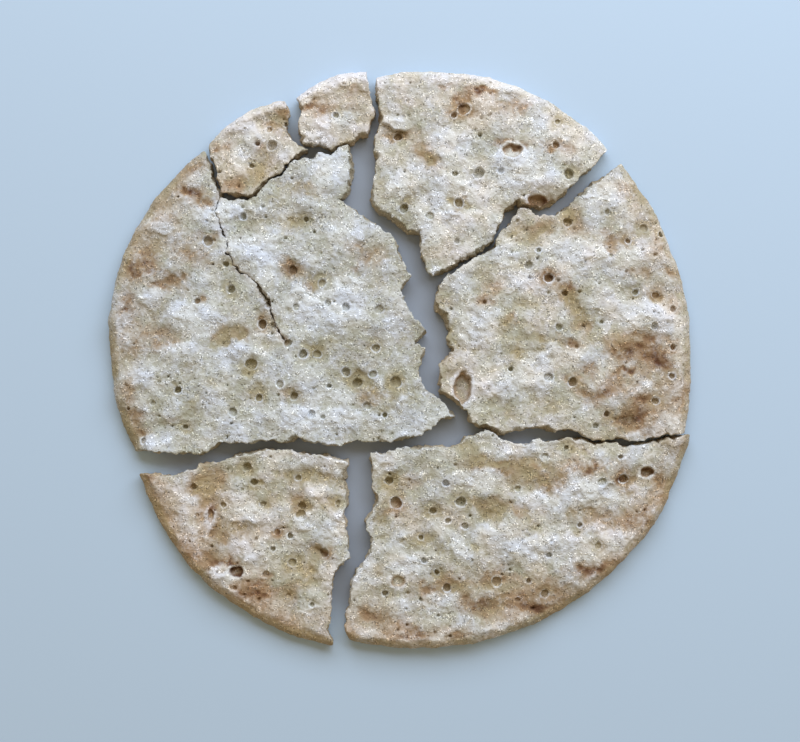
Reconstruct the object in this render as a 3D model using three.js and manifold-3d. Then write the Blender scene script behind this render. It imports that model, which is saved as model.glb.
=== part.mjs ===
// A thin round rye crispbread, baked whole and snapped by hand into seven pieces that still lie in the round.
// Millimetres, +Z up. The origin is on the underside, below the middle of the round as it lies.
// Seen from above, +X runs to the right and +Y to the top.
import * as THREE from "three";
import { mergeVertices } from "three/addons/utils/BufferGeometryUtils.js";
import Module from "manifold-3d";

const wasm = await Module();
wasm.setup();

// The sheet of baked dough
const ROUND = 130; // width of the round as it lies
const THICKNESS = 4.4; // from the underside to the mean height of the top crust
const SWELL_HEIGHT = 1; // how far the crust rises or sinks about that height
const SWELL_LENGTH = 11; // from one rise to the next, along X
const SWELL_STRETCH = 0.8; // the rises are this much closer together along Y
const CRUST_GRID = 3.2; // spacing of the facets of the top crust

// The rim, which baked round and thinner than the middle
const RIM_ROUND = 3.6; // width of the rounding above
const RIM_WIDEST = 1.4; // height at which the rim stands out furthest
const RIM_TUCK = 0.8; // how far it draws in below that
const RIM_WAVE = 0.35; // how far it wanders from its arc
const RIM_STEP = 3.4; // length of a facet along the rim

// The broken edges, which run ragged and lean in or out
const BREAK_STEP = 1.65; // length of a facet along a break
const BREAK_RAG = 0.34; // how far the coarse tears stand out
const BREAK_RAG_LENGTH = 3.4;
const BREAK_CRUMB = 0.2; // how far the fine tears stand out
const BREAK_CRUMB_LENGTH = 1.5;
const BREAK_LEAN = 0.9; // how far the foot of a break may stand out from its top

// The steam holes in the top crust
const PORE_GRID = 6.4; // about one hole in each square of this side
const PORE_SHARE = 0.8; // share of those squares that has one
const PORE_MOST = 2.1; // width of the widest
const PORE_LEAST = 0.6; // width of the narrowest
const PORE_SOLID = 1.7; // narrower ones are only a matter of texture
const PORE_CLEAR = 1.3; // distance from the middle of a hole to a break or the rim, at least
const PORE_TAPER = 0.6; // width of a hole at its floor, as a share of its width at the top
const PORE_SIDES = 6;

// How far the tools reach beyond the bread
const REACH = 3;
const WELD = 1e-4;

// The pieces. The rim of each is an arc that bulges by the given amount beyond the straight line between its
// two ends. The break lists the corners from the end of that arc round to its start, counter-clockwise.
// A pore is [x, y, width], and a hollow is [x, y, height of its middle, width, depth along Y, height].
const PIECES = {
  left_slab: {
    bulge: 12.6,
    breakage: [
      [-59.5, -20.5], [-45.3, -20.9], [-40.4, -18.9], [-31.4, -17.8], [-26.9, -18.7], [-22.8, -16.9],
      [-19.5, -18.5], [-14.7, -19.4], [-9.8, -17.6], [-2.6, -18.2], [4.2, -16.7], [7.1, -14.6],
      [12, -12.4], [8.7, -9.2], [4.6, -6.1], [3.5, -1.6], [5.7, 2], [3.5, 4.3], [5.5, 6.3], [2.1, 10.6],
      [0.1, 15.8], [2.1, 18.5], [-1.7, 27.2], [-13.8, 35.1], [-12.3, 37.8], [-11.4, 43.7], [-11.8, 47.6],
      [-13.6, 47.3], [-15.4, 45.7], [-18.8, 45.5], [-19.9, 44.1], [-24.2, 43.9], [-26.4, 41.4], [-30, 39.4],
      [-33.2, 35.3], [-40.2, 35.1], [-44.7, 46.6],
    ],
    pores: [
      [-35.6, 32.2, 1.7], [-43.5, 26.6, 2.2], [-31.4, 7.9, 2.1], [-24.4, 20, 2], [-38.4, 15.8, 1.8],
      [-22.2, 1.1, 2.1], [-19, 1.1, 1.9], [-5.7, 2.5, 1.9], [-12.5, -2.9, 2], [-7.8, -10.6, 1.9],
      [-24.2, -8.3, 1.9], [-33.9, -1.1, 2.4], [-5.1, 11.3, 2], [-37.9, -11.9, 2], [-20.1, -12.4, 1.8],
    ],
    hollows: [[-1.2, -5.2, 5.2, 2.8, 2.8, 2.6]],
  },
  upper_left_chip: {
    bulge: 1.7,
    breakage: [
      [-43.8, 47.9], [-43.1, 44.8], [-41.5, 43], [-39.9, 37.1], [-33.4, 36.5], [-31.2, 38.9], [-26.4, 42.3],
      [-24.6, 44.6], [-20.4, 46.4], [-23.5, 47.9], [-24.6, 51.1], [-24.4, 54.9], [-26, 58.1],
    ],
    pores: [[-32.5, 48.6, 1.4], [-29.8, 51.8, 1.5]],
    hollows: [],
  },
  top_chip: {
    bulge: 1.3,
    breakage: [
      [-23.5, 59], [-21.7, 55.6], [-22.4, 51.8], [-21.7, 48.4], [-19.9, 48.4], [-15.2, 47], [-13.2, 48.4],
      [-11.1, 48.4], [-10.2, 49.7], [-7.3, 50.4], [-6.2, 55.4], [-7.8, 64.4],
    ],
    pores: [[-14.7, 54.9, 1.4]],
    hollows: [],
  },
  top_right_wedge: {
    bulge: 7.4,
    breakage: [
      [-5.7, 63], [-4.6, 53.8], [-6.6, 46.6], [-5.3, 45.2], [-7.1, 36.7], [-2.4, 31.7], [0.3, 31.1], [1.5, 28.8],
      [4.2, 28.6], [4.6, 23.6], [7.3, 18.5], [19.9, 26.1], [21.7, 29.5], [23.1, 33.1], [26, 35.3], [31.6, 34],
      [35.7, 36.5], [42.4, 42.8], [46.5, 46.8],
    ],
    pores: [
      [14.1, 56.3, 2.4], [17.4, 41.9, 2.4], [34.8, 48.2, 1.7], [6.4, 32.2, 1.8], [12.9, 35.1, 2], [-0.8, 50.2, 1.9],
      [37.7, 41.6, 2.2], [22.4, 42.3, 1.5],
    ],
    hollows: [[25.3, 47, 5.4, 4.2, 3.4, 2.6], [30.6, 36.2, 3.2, 4.2, 2.2, 2.2]],
  },
  right_slab: {
    bulge: 7,
    breakage: [
      [49.6, 43.7], [39, 35.8], [33.9, 32], [30.3, 31.5], [28, 33.3], [26.2, 33.3], [21.7, 27], [20.1, 24.7],
      [10, 18.7], [8.2, 16], [8.2, 12.8], [10.9, 7], [9.8, 4.7], [11.4, 2], [8.4, -1.5], [9.3, -7], [15, -11.9],
      [15.4, -14], [18.6, -14.6], [22.6, -16.7], [25.3, -15.3], [33, -15.1], [45.8, -17.8], [53.7, -18.2],
      [57, -17.1], [63.6, -16.7],
    ],
    pores: [
      [37.5, 30.8, 2], [28.7, 21.2, 1.8], [33.2, 18.2, 2.1], [35.4, 7.2, 1.7], [33.2, -4.1, 2.1], [38.6, -5.2, 2],
      [54.6, 29.5, 1.9], [57.3, 14.4, 1.7], [56.8, 7.4, 1.7], [57.3, -9.5, 1.7], [46.2, -12.4, 1.5],
    ],
    hollows: [[14.2, -7.2, 3.6, 3.8, 6, 3.6]],
  },
  lower_left_corner: {
    bulge: 8.6,
    breakage: [
      [-15.2, -64.1], [-16.3, -61], [-15.4, -47.7], [-11.8, -44.1], [-12.9, -34.7], [-12, -31.3], [-13.2, -27],
      [-12, -23.2], [-22.8, -20.5], [-31.4, -20.5], [-51, -25.7], [-58.8, -25.7],
    ],
    pores: [
      [-22.4, -33.1, 1.8], [-22.6, -35.3, 2.1], [-17.4, -43.7, 2], [-34.8, -24.4, 2], [-28, -38.9, 1.5],
      [-24.6, -45.9, 1.8], [-30.5, -48.4, 1.6],
    ],
    hollows: [[-37.2, -47.9, 3.4, 3.4, 2.4, 3.6]],
  },
  lower_right_slab: {
    bulge: 18.7,
    breakage: [
      [64.9, -16.9], [51, -19.6], [39.7, -17.6], [24.9, -18.9], [22.2, -17.8], [19.9, -16.2], [16.5, -16.9],
      [13.8, -18.7], [10.5, -20.3], [0.8, -19.8], [-7.1, -21.2], [-6, -31.3], [-7.8, -36], [-6.4, -39.6],
      [-7.1, -43.4], [-10.2, -47], [-11.6, -55.1], [-12.7, -59.9], [-11.1, -62.8],
    ],
    pores: [
      [13.4, -32.2, 2.3], [14.3, -37.6, 1.7], [10, -27.9, 1.6], [-2.8, -27.5, 1.8], [-1.2, -32.4, 2.6],
      [10.2, -51.5, 1.8], [21.5, -50.2, 2.2], [32.3, -22.1, 1.8], [45.1, -27.7, 2], [50.1, -27, 2],
      [44.2, -42.1, 1.6], [32.3, -52.9, 1.8],
    ],
    hollows: [[55.5, -25.4, 4.6, 3.1, 2.4, 3], [-0.8, -50.2, 5.2, 3, 2.6, 2.4]],
  },
};

// The crack that runs down into the left slab from its upper break, and its width at the ends and where it gapes
const CRACK = [
  [-40.2, 38], [-40.6, 34.3], [-41.6, 33.2], [-40.4, 29.5], [-38.8, 26.4], [-39.2, 23.9], [-36.3, 19.4],
  [-32.6, 16.9], [-31.4, 14.4], [-28.4, 9.6], [-28, 7], [-26.2, 4.3],
];
const CRACK_WIDTH = 0.7;
const CRACK_GAPE = 1.8;
const CRACK_GAPE_AT = 8;

// Returns a number from 0 to 1 that depends only on the corner of the lattice it is asked for.
function cornerValue(i, j, k) {
  const s = Math.sin(i * 127.1 + j * 311.7 + k * 74.7) * 43758.5453;
  return s - Math.floor(s);
}

// Returns smooth noise from -1 to 1, which turns over about once per unit of length.
function noise(x, y, z) {
  const cell = [Math.floor(x), Math.floor(y), Math.floor(z)];
  const share = [x - cell[0], y - cell[1], z - cell[2]].map((f) => f * f * (3 - 2 * f));
  let sum = 0;
  for (let corner = 0; corner < 8; corner += 1) {
    const step = [corner & 1, (corner >> 1) & 1, corner >> 2];
    const weight = share.reduce((w, f, axis) => w * (step[axis] ? f : 1 - f), 1);
    sum += weight * cornerValue(cell[0] + step[0], cell[1] + step[1], cell[2] + step[2]);
  }
  return 2 * sum - 1;
}

// Returns the height of the top crust above the underside.
function crustHeight(x, y) {
  const u = x / SWELL_LENGTH;
  const v = y / (SWELL_LENGTH * SWELL_STRETCH);
  return THICKNESS + SWELL_HEIGHT * (0.65 * noise(u, v, 3) + 0.35 * noise(1.8 * u, 1.8 * v, 7));
}

// Moves a point of a break sideways. Both sides of a break move alike, so that they still match.
// The ends of the post that carries the break, well clear of the bread, stay as they are.
function tear(x, y, z) {
  if (z < -0.6 * THICKNESS || z > 1.6 * THICKNESS) return [x, y, z];
  const foot = BREAK_LEAN * (1 - z / THICKNESS);
  const shift = [11, 23].map(
    (seed) =>
      BREAK_RAG * noise(x / BREAK_RAG_LENGTH, y / BREAK_RAG_LENGTH, seed + z / BREAK_RAG_LENGTH) +
      BREAK_CRUMB * noise(x / BREAK_CRUMB_LENGTH, y / BREAK_CRUMB_LENGTH, seed + z / BREAK_CRUMB_LENGTH) +
      foot * noise(x / SWELL_LENGTH, y / SWELL_LENGTH, seed + 0.5),
  );
  return [x + shift[0], y + shift[1], z];
}

// Moves a point of the rim sideways, in long waves only.
function waver(x, y, z) {
  const shift = [31, 43].map((seed) => RIM_WAVE * noise(x / SWELL_LENGTH, y / SWELL_LENGTH, seed));
  return [x + shift[0], y + shift[1], z];
}

// Moves every vertex of a geometry.
function reshape(geometry, move) {
  const position = geometry.getAttribute("position");
  for (let i = 0; i < position.count; i += 1) {
    position.setXYZ(i, ...move(position.getX(i), position.getY(i), position.getZ(i)));
  }
  return geometry;
}

// Turns a closed geometry into a solid that can be cut.
function solidOf(geometry) {
  geometry.deleteAttribute("normal");
  geometry.deleteAttribute("uv");
  const merged = mergeVertices(geometry, WELD);
  return new wasm.Manifold(
    new wasm.Mesh({
      numProp: 3,
      vertProperties: merged.getAttribute("position").array,
      triVerts: new Uint32Array(merged.index.array),
    }),
  );
}

// Turns a solid back into a geometry.
function geometryOf(solid) {
  const mesh = solid.getMesh();
  const geometry = new THREE.BufferGeometry();
  geometry.setAttribute("position", new THREE.BufferAttribute(mesh.vertProperties, 3));
  geometry.setIndex(new THREE.BufferAttribute(mesh.triVerts, 1));
  return geometry;
}

// Returns the circle that a piece's rim lies on, and the angles at which the arc starts and ends.
function rimCircle(piece) {
  const [start, end] = [piece.breakage.at(-1), piece.breakage[0]].map((corner) => new THREE.Vector2(...corner));
  const chord = end.clone().sub(start);
  const inward = new THREE.Vector2(-chord.y, chord.x).normalize();
  const radius = (chord.lengthSq() / 4 + piece.bulge ** 2) / (2 * piece.bulge);
  const centre = start.clone().add(end).multiplyScalar(0.5).addScaledVector(inward, radius - piece.bulge);
  const from = start.clone().sub(centre).angle();
  const to = end.clone().sub(centre).angle();
  return { centre, radius, from, sweep: THREE.MathUtils.euclideanModulo(to - from, 2 * Math.PI) };
}

// Returns the outline of a piece: an arc that clears the rim, then the breaks in short facets.
function outlineOf(piece, rim) {
  const arc = new THREE.EllipseCurve(
    rim.centre.x,
    rim.centre.y,
    rim.radius + REACH,
    rim.radius + REACH,
    rim.from,
    rim.from + rim.sweep,
  );
  const outline = arc.getPoints(24);
  for (let i = 0; i < piece.breakage.length - 1; i += 1) {
    const side = new THREE.LineCurve(
      new THREE.Vector2(...piece.breakage[i]),
      new THREE.Vector2(...piece.breakage[i + 1]),
    );
    const facets = Math.max(1, Math.round(side.getLength() / BREAK_STEP));
    outline.push(...side.getPoints(facets).slice(0, facets));
  }
  outline.push(new THREE.Vector2(...piece.breakage.at(-1)));
  return outline;
}

// A post with the outline of a piece and ragged sides, which runs through the bread and out of it
function postOf(outline) {
  const post = new THREE.ExtrudeGeometry(new THREE.Shape(outline), {
    depth: 3 * THICKNESS,
    steps: 6,
    bevelEnabled: false,
  });
  post.translate(0, 0, -THICKNESS);
  return solidOf(reshape(post, tear));
}

// A block whose top is the crust over a piece
function blockOf(outline) {
  const box = new THREE.Box2().setFromPoints(outline).expandByScalar(REACH);
  const size = box.getSize(new THREE.Vector2());
  const middle = box.getCenter(new THREE.Vector2());
  const facets = size.clone().divideScalar(CRUST_GRID).round();
  const block = new THREE.BoxGeometry(size.x, size.y, 2 * REACH, facets.x, facets.y, 1);
  block.translate(middle.x, middle.y, 0);
  return solidOf(reshape(block, (x, y, z) => [x, y, z > 0 ? crustHeight(x, y) : z]));
}

// A disc with the rounded rim of a piece, domed high enough in the middle to leave the crust alone
function discOf(rim) {
  const section = [
    new THREE.Vector2(0, -REACH),
    new THREE.Vector2(rim.radius - 2 * RIM_TUCK, -REACH),
    new THREE.Vector2(rim.radius - RIM_TUCK, 0),
  ];
  const rise = THICKNESS - RIM_WIDEST;
  for (const turn of [0, 0.3, 0.6, 0.85].map((share) => (share * Math.PI) / 2)) {
    section.push(
      new THREE.Vector2(rim.radius - RIM_ROUND * (1 - Math.cos(turn)), RIM_WIDEST + rise * Math.sin(turn)),
    );
  }
  section.push(new THREE.Vector2(rim.radius - 2 * RIM_ROUND, THICKNESS + REACH));
  section.push(new THREE.Vector2(0, THICKNESS + REACH));
  const disc = new THREE.LatheGeometry(section, Math.round((2 * Math.PI * rim.radius) / RIM_STEP));
  disc.rotateX(Math.PI / 2);
  disc.translate(rim.centre.x, rim.centre.y, 0);
  return solidOf(reshape(disc, waver));
}

// Everything above the flat underside, over the whole round
function overUnderside() {
  const side = 2 * ROUND;
  const space = new THREE.BoxGeometry(side, side, side);
  space.translate(0, 0, side / 2);
  return solidOf(space);
}

// A tapered plug that opens a steam hole
function poreOf([x, y, width]) {
  const depth = Math.min(0.8 * width, 0.5 * THICKNESS);
  const spread = (width * (1 - PORE_TAPER)) / (2 * depth);
  const top = width / 2 + spread;
  const plug = new THREE.CylinderGeometry(top, (PORE_TAPER * width) / 2, depth + 1, PORE_SIDES);
  plug.rotateX(Math.PI / 2);
  plug.translate(x, y, crustHeight(x, y) + (1 - depth) / 2);
  return solidOf(plug);
}

// An egg-shaped bubble that opens a broken blister
function hollowOf([x, y, z, width, length, height]) {
  const bubble = new THREE.SphereGeometry(0.5, 10, 7);
  bubble.scale(width, height, length);
  bubble.rotateX(Math.PI / 2);
  bubble.translate(x, y, z);
  return solidOf(bubble);
}

// The crack as a thin blade that follows its line
function crackBlade() {
  const line = CRACK.map((corner) => new THREE.Vector2(...corner));
  const left = [];
  const right = [];
  line.forEach((point, i) => {
    const along = line[Math.min(i + 1, line.length - 1)].clone().sub(line[Math.max(i - 1, 0)]).normalize();
    const across = new THREE.Vector2(-along.y, along.x);
    const half = (i === CRACK_GAPE_AT ? CRACK_GAPE : CRACK_WIDTH) / 2;
    left.push(point.clone().addScaledVector(across, half));
    right.unshift(point.clone().addScaledVector(across, -half));
  });
  const blade = new THREE.ExtrudeGeometry(new THREE.Shape([...left, ...right]), {
    depth: THICKNESS + 2 * REACH,
    bevelEnabled: false,
  });
  blade.translate(0, 0, -REACH);
  return solidOf(blade);
}

// Returns the distance from a point to the nearest break or rim of a piece, negative outside it.
function insideBy(x, y, outline, rim) {
  const point = new THREE.Vector3(x, y, 0);
  let inside = false;
  let nearest = rim.radius - Math.hypot(x - rim.centre.x, y - rim.centre.y);
  outline.forEach((a, i) => {
    const b = outline[(i + 1) % outline.length];
    const side = new THREE.Line3(new THREE.Vector3(a.x, a.y, 0), new THREE.Vector3(b.x, b.y, 0));
    nearest = Math.min(nearest, side.closestPointToPoint(point, true, new THREE.Vector3()).distanceTo(point));
    if (a.y > y !== b.y > y && x < a.x + ((b.x - a.x) * (y - a.y)) / (b.y - a.y)) inside = !inside;
  });
  return inside ? nearest : -Math.abs(nearest);
}

// Returns the scattered steam holes of a piece: one in most squares of a loose grid, none by a landmark.
function scatteredPores(piece, outline, rim) {
  const landmarks = [...piece.pores, ...piece.hollows];
  const box = new THREE.Box2().setFromPoints(outline);
  const pores = [];
  for (let i = Math.floor(box.min.x / PORE_GRID); i * PORE_GRID < box.max.x; i += 1) {
    for (let j = Math.floor(box.min.y / PORE_GRID); j * PORE_GRID < box.max.y; j += 1) {
      const x = (i + 0.1 + 0.8 * cornerValue(i, j, 51)) * PORE_GRID;
      const y = (j + 0.1 + 0.8 * cornerValue(i, j, 52)) * PORE_GRID;
      const width = PORE_LEAST + (PORE_MOST - PORE_LEAST) * cornerValue(i, j, 53) ** 2;
      const alone = landmarks.every((mark) => Math.hypot(mark[0] - x, mark[1] - y) > 0.6 * PORE_GRID);
      if (width < PORE_SOLID || cornerValue(i, j, 54) > PORE_SHARE || !alone) continue;
      if (insideBy(x, y, outline, rim) > PORE_CLEAR) pores.push([x, y, width]);
    }
  }
  return pores;
}

// One piece of bread as a solid
function bake(name) {
  const piece = PIECES[name];
  const rim = rimCircle(piece);
  const outline = outlineOf(piece, rim);
  let solid = postOf(outline).intersect(blockOf(outline)).intersect(discOf(rim)).intersect(overUnderside());
  for (const pore of [...piece.pores, ...scatteredPores(piece, outline, rim)]) {
    solid = solid.subtract(poreOf(pore));
  }
  for (const hollow of piece.hollows) solid = solid.subtract(hollowOf(hollow));
  if (name === "left_slab") solid = solid.subtract(crackBlade());
  return geometryOf(solid);
}

const bread = new THREE.Group();
bread.name = "rye_crispbread";
const extent = new THREE.Box3();
for (const name of Object.keys(PIECES)) {
  const crust = new THREE.MeshStandardMaterial({ color: 0xc9bfae, roughness: 0.9, metalness: 0 });
  const mesh = new THREE.Mesh(bake(name), crust);
  mesh.name = name;
  bread.add(mesh);
  extent.expandByObject(mesh);
}

// The pieces keep their places, and the whole is moved so that its middle is over the origin.
const middle = extent.getCenter(new THREE.Vector3());
for (const mesh of bread.children) mesh.geometry.translate(-middle.x, -middle.y, -extent.min.z);

export default bread;
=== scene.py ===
"""A thin round rye crispbread, snapped by hand into seven pieces that still lie in the round."""
import math

import bmesh
import bpy
import numpy as np
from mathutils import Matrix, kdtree


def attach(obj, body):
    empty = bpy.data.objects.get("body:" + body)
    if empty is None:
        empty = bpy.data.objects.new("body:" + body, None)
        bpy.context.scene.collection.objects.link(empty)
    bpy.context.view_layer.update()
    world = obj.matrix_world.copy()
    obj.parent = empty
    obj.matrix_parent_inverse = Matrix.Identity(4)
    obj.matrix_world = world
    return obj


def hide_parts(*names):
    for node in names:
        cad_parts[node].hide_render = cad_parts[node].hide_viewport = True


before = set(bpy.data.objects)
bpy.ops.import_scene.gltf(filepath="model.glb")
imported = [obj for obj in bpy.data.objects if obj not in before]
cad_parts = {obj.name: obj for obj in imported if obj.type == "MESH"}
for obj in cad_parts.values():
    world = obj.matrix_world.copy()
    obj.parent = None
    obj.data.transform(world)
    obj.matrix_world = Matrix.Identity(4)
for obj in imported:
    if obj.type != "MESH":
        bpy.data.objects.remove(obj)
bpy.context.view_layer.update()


# The left slab, the largest piece. It is rye dough rolled thin, pricked, dusted with flour and baked dry on
# a hot stone, so its crust is pale on the swells, golden in the dips and browned at the rim, and painted
# shade is added in the dips and at the rim. It was snapped off by hand, which left ragged crumb along the
# breaks and a crack that runs down from its upper edge.
MM = 0.001
THICKNESS = 4.4  # from the underside to the mean height of the crust
SWELL = 11  # from one rise of the crust to the next
RIM_ROUND = 3.6  # width of the rounding at the rim
RIM_WIDEST = 1.4  # height at which the rim stands out furthest
RIM_TUCK = 0.8  # how far it draws in below that
RIM_TURN = math.radians(48)  # how far round the rim the blank's upright side is bent
SECTION = 1.5  # height at which the outline is taken from the solid, below every steam hole
FACET = 0.25  # side of the small squares that the crust is modelled in
CRACK_HALF = 0.35  # half the width of the crack
CRACK_GAPE = 0.9  # half of what it gapes at its widest
DRAWN = (0.326, 0.196)  # the round was drawn with its middle this far off
MERGED = 1e-3  # points of a solid nearer than this are one point

# The photograph's own measure: a place on the crust is read off it in pixels.
PIXEL = 0.2225  # millimetres of crust to a pixel
PHOTO_MIDDLE = (401.5, 358.9)  # the pixel over the point that the round was drawn from


def from_photo(across, down):
    """The place on the crust, in millimetres, that a pixel of the photograph shows."""
    return (across - PHOTO_MIDDLE[0]) * PIXEL, (PHOTO_MIDDLE[1] - down) * PIXEL


def corner_value(i, j, k):
    """A number from 0 to 1 that depends only on the corner of the lattice it is asked for."""
    s = np.sin(i * 127.1 + j * 311.7 + k * 74.7) * 43758.5453
    return s - np.floor(s)


def noise(x, y, z):
    """Smooth noise from -1 to 1, which turns over about once per unit of length."""
    point = np.broadcast_arrays(x, y, z)
    cell = [np.floor(v) for v in point]
    share = [(v - c) ** 2 * (3 - 2 * (v - c)) for v, c in zip(point, cell)]
    total = 0
    for corner in range(8):
        step = (corner & 1, corner >> 1 & 1, corner >> 2)
        weight = 1
        for f, far in zip(share, step):
            weight = weight * (f if far else 1 - f)
        total = total + weight * corner_value(*(c + s for c, s in zip(cell, step)))
    return 2 * total - 1


def ease(low, high, value):
    """0 below low, 1 above high, and a smooth rise between them."""
    share = np.clip((value - low) / (high - low), 0, 1)
    return share * share * (3 - 2 * share)


def crust_height(x, y):
    """Height of the baked crust above the underside, as the solids have it."""
    u, v = x / SWELL, y / (0.8 * SWELL)
    return THICKNESS + 0.65 * noise(u, v, 3) + 0.35 * noise(1.8 * u, 1.8 * v, 7)


def tear(x, y, z, seed):
    """How far a break stands out of its line at a height: coarse tears, fine tears and its lean."""
    return (
        0.34 * noise(x / 3.4, y / 3.4, seed + z / 3.4)
        + 0.2 * noise(x / 1.5, y / 1.5, seed + z / 1.5)
        + 0.9 * (1 - z / THICKNESS) * noise(x / SWELL, y / SWELL, seed + 0.5)
    )


def beside_line(x, y, corners):
    """The distance from each point to a line of corners, and the direction away from it."""
    nearest = np.full(np.shape(x), np.inf)
    away_x, away_y = np.zeros_like(nearest), np.zeros_like(nearest)
    for (ax, ay), (bx, by) in zip(corners, corners[1:]):
        share = ((x - ax) * (bx - ax) + (y - ay) * (by - ay)) / ((bx - ax) ** 2 + (by - ay) ** 2)
        share = np.clip(share, 0, 1)
        dx, dy = x - ax - share * (bx - ax), y - ay - share * (by - ay)
        gap = np.hypot(dx, dy)
        closer = gap < nearest
        nearest = np.where(closer, gap, nearest)
        away_x = np.where(closer, dx / np.maximum(gap, 1e-9), away_x)
        away_y = np.where(closer, dy / np.maximum(gap, 1e-9), away_y)
    return nearest, away_x, away_y


def slab_blank(name):
    """An upright slab with the outline of a solid, remeshed into small even squares."""
    form = bmesh.new()
    form.from_mesh(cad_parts[name].data)
    bmesh.ops.remove_doubles(form, verts=form.verts, dist=MERGED * MM)
    bmesh.ops.bisect_plane(
        form,
        geom=form.verts[:] + form.edges[:] + form.faces[:],
        plane_co=(0, 0, SECTION * MM),
        plane_no=(0, 0, 1),
        clear_inner=True,
        clear_outer=True,
    )
    bmesh.ops.remove_doubles(form, verts=form.verts, dist=MERGED * MM)
    bmesh.ops.triangle_fill(form, edges=form.edges[:], use_beauty=True)
    bmesh.ops.translate(form, vec=(0, 0, -SECTION * MM), verts=form.verts)
    swept = bmesh.ops.extrude_face_region(form, geom=form.faces[:])
    risen = [v for v in swept["geom"] if isinstance(v, bmesh.types.BMVert)]
    bmesh.ops.translate(form, vec=(0, 0, THICKNESS * MM), verts=risen)
    bmesh.ops.recalc_face_normals(form, faces=form.faces)
    rough = bpy.data.meshes.new(name + "_blank")
    form.to_mesh(rough)
    form.free()
    blank = bpy.data.objects.new(name + "_blank", rough)
    bpy.context.scene.collection.objects.link(blank)
    squares = blank.modifiers.new("squares", "REMESH")
    squares.mode = "VOXEL"
    squares.voxel_size = FACET * MM
    fine = bpy.data.meshes.new_from_object(blank.evaluated_get(bpy.context.evaluated_depsgraph_get()))
    bpy.data.objects.remove(blank)
    bpy.data.meshes.remove(rough)
    return fine


def sway(x, y, seed):
    """Where a point is pushed to, so that the outline of a spot wanders."""
    for size, amount in ((5.5, 1.5), (2.4, 1.1), (1, 0.6)):
        push_x = amount * noise(x / size, y / size, seed + size)
        push_y = amount * noise(x / size, y / size, seed + 20 + size)
        x, y = x + push_x, y + push_y
    return x, y


def coverage(x, y, spots, seed):
    """How far spots cover each point. A spot is a pixel, a half width, a half height and a strength."""
    swayed_x, swayed_y = sway(x, y, seed)
    cover = np.zeros_like(x)
    dapple = 1 + 0.5 * noise(x / 2.1, y / 1.5, seed + 3) + 0.3 * noise(x / 0.8, y / 0.8, seed + 9)
    for across, down, wide, high, strength in spots:
        cx, cy = sway(*from_photo(across, down), seed)
        reach = np.hypot((swayed_x - cx) / (wide * PIXEL), (swayed_y - cy) / (high * PIXEL))
        spot = 0.55 * (1 - ease(0, 1.3, reach)) + 0.45 * (1 - ease(0.2, 2.1, reach))
        cover = cover + (1 - cover) * strength * spot
    return cover * dapple


def flat_tree(points):
    """A tree that finds the nearest of some points, seen from above."""
    tree = kdtree.KDTree(len(points))
    for i, (px, py) in enumerate(points):
        tree.insert((px, py, 0), i)
    tree.balance()
    return tree


# Heights and depths of the crust's relief, in millimetres like every size of the bread
HUMP = 0.42
LUMP = 0.2
BROWN_DIP = 0.65  # how far a browned or golden place lies below the crust round it
PEBBLE = 0.135
GRAIN = 0.08
RIM_SWAY = 0.35  # how far the rim wanders off its circle
GAPE_REACH = 3.4  # how far along the crack it gapes
TATTERS = ((3.1, 0.5), (1.6, 0.32), (0.8, 0.28), (0.5, 0.22))  # widths of tears, and their depths
# The crumb ledge on breaks that face down the round is put where shade falls, so it is partly painted shade.
SHADE_LEDGE = 0.5  # the most that crumb stands out below the crust
LEDGE_ROOM = 0.4  # the gap that is left free of it
HOLE_SHARE = 0.95  # a steam hole's width, as a share of the dark spot that it shows as
STREWN_CELL = 2.3  # side of the squares that hold one strewn hole at most
STREWN_SHARE = 0.14  # share of those squares that hold one
WIDE_HOLE = 0.9  # from this width on a hole has a lip and a dimple
DEEPEST_HOLE = 1.6
BREAD_LEFT = 0.9  # what is left under the deepest hole
UNDERSIDE_KEPT = 0.62  # share of the triangles that thinning leaves, with the underside thinned first


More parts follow.
